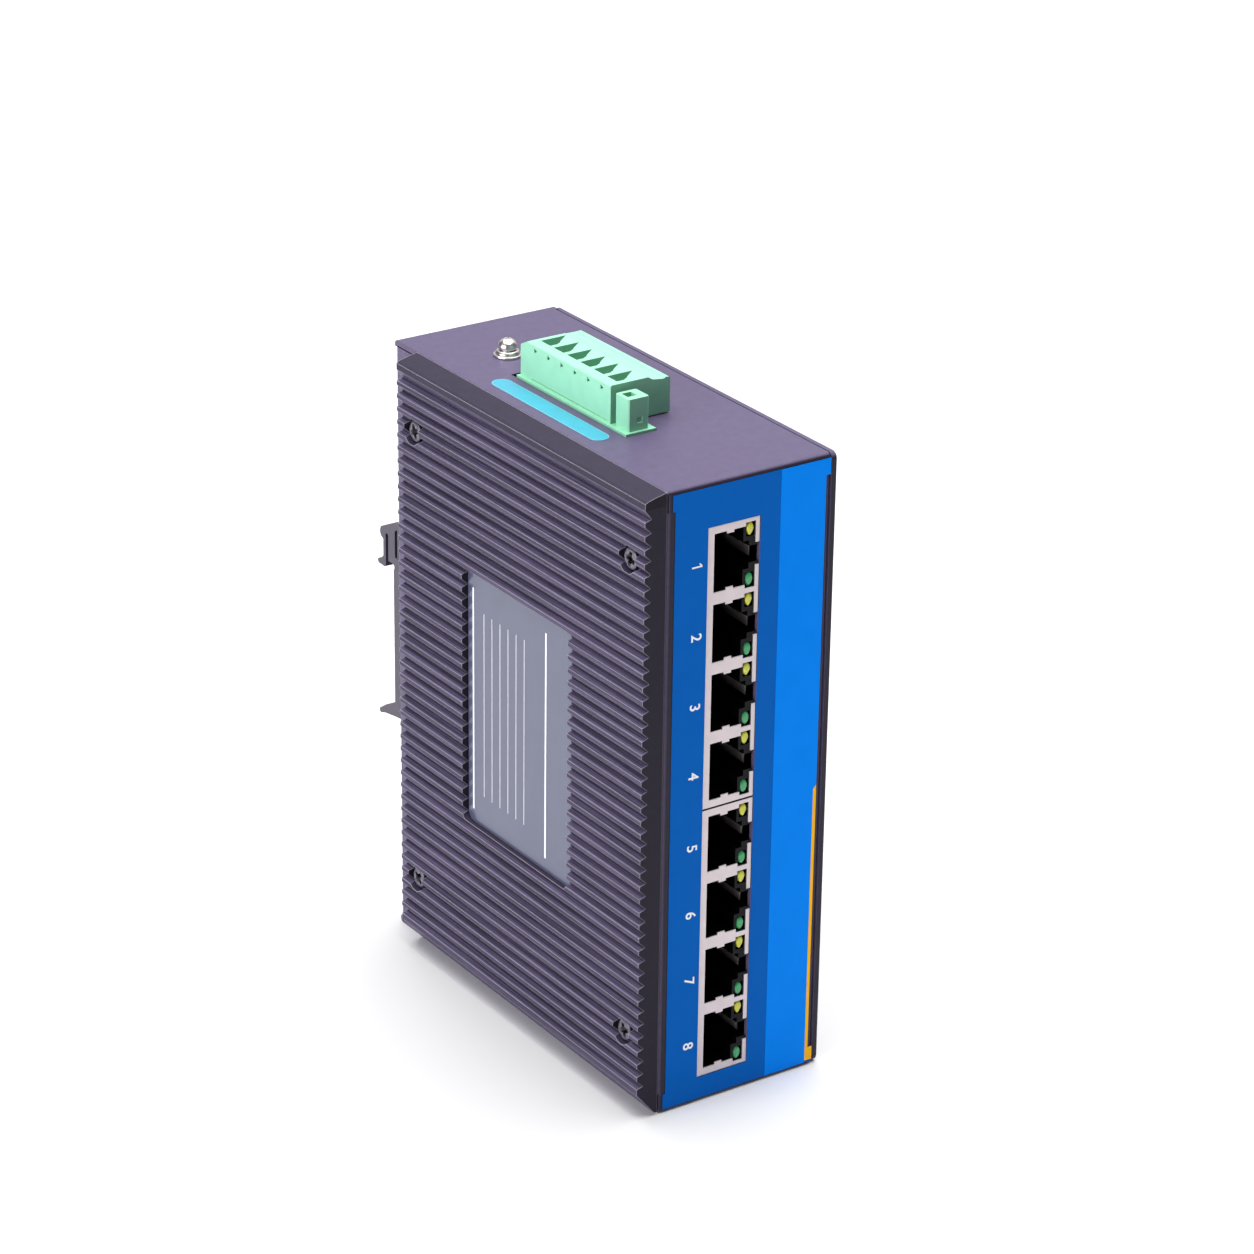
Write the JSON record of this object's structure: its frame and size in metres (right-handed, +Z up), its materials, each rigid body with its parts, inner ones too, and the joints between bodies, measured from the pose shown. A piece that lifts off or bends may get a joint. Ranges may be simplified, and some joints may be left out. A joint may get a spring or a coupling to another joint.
{
  "type": "din rail ethernet switch",
  "caption": "Slim metal-cased industrial network switch for rail mounting, with a finned side plate, a column of network sockets and a pluggable green terminal block on top.",
  "frame": {"origin": "middle of the case's bottom face", "axes": "+Z up; the sockets face -Y, the rail clip is at +Y, the finned plate at -X"},
  "size_m": [0.0424, 0.1022, 0.1356],
  "materials": {
    "case_paint": "satin powder coat",
    "plate_paint": "satin powder coat on extruded aluminium",
    "dark_blue_film": "satin printed film",
    "light_blue_print": "satin printed film",
    "orange_print": "satin printed film",
    "label_grey": "glossy label",
    "label_white": "printed lines",
    "pale_blue_film": "satin sticker",
    "shield_steel": "tinned steel",
    "socket_black": "moulded plastic",
    "contact_gold": "gold-plated bronze",
    "yellow_lens": "moulded light guide",
    "green_lens": "moulded light guide",
    "terminal_green": "moulded plastic",
    "pin_tin": "tinned brass",
    "clamp_brass": "nickel-plated brass",
    "screw_zinc": "zinc-plated steel",
    "screw_nickel": "nickel-plated steel",
    "clip_anodised": "dark anodised",
    "board_green": "solder resist",
    "chip_black": "moulded package",
    "can_aluminium": "bare",
    "pad_soft": "soft silicone",
    "disc_blue": "lacquered"
  },
  "bodies": {
    "root": {"board_screws": "screw_zinc", "board_spacers": "screw_zinc", "capacitors": "can_aluminium", "case_sheet": "case_paint", "circuit_board": "board_green", "clip_nuts": "screw_zinc", "clip_screws": "screw_zinc", "cover_nuts": "screw_zinc", "cover_screws": "screw_zinc", "crystal": "can_aluminium", "earth_lock_washer": "screw_nickel", "earth_nut": "screw_zinc", "earth_screw": "screw_nickel", "earth_washer": "screw_nickel", "front_label": "dark_blue_film", "green_lamps_lower": "green_lens", "green_lamps_upper": "green_lens", "header_pins": "pin_tin", "heat_block": "can_aluminium", "heat_sink": "plate_paint", "heat_sink_nuts": "screw_zinc", "heat_sink_screws": "screw_zinc", "jack_contacts_lower": "contact_gold", "jack_contacts_upper": "contact_gold", "jack_housing_lower": "socket_black", "jack_housing_upper": "socket_black", "jack_shield_lower": "shield_steel", "jack_shield_upper": "shield_steel", "light_blue_field": "light_blue_print", "line_transformers": "chip_black", "memory_chip": "chip_black", "orange_stripe": "orange_print", "power_chip": "chip_black", "power_inductor": "chip_black", "rail_clip": "clip_anodised", "rating_label": "label_grey", "rating_label_lines": "label_white", "right_cover": "case_paint", "surge_disc": "disc_blue", "switch_chip": "chip_black", "terminal_header": "terminal_green", "terminal_label": "pale_blue_film", "terminal_plug": "terminal_green", "thermal_pad": "pad_soft", "wire_cages": "clamp_brass", "wire_screws": "screw_zinc", "yellow_lamps_lower": "yellow_lens", "yellow_lamps_upper": "yellow_lens"}
  },
  "joints": []
}
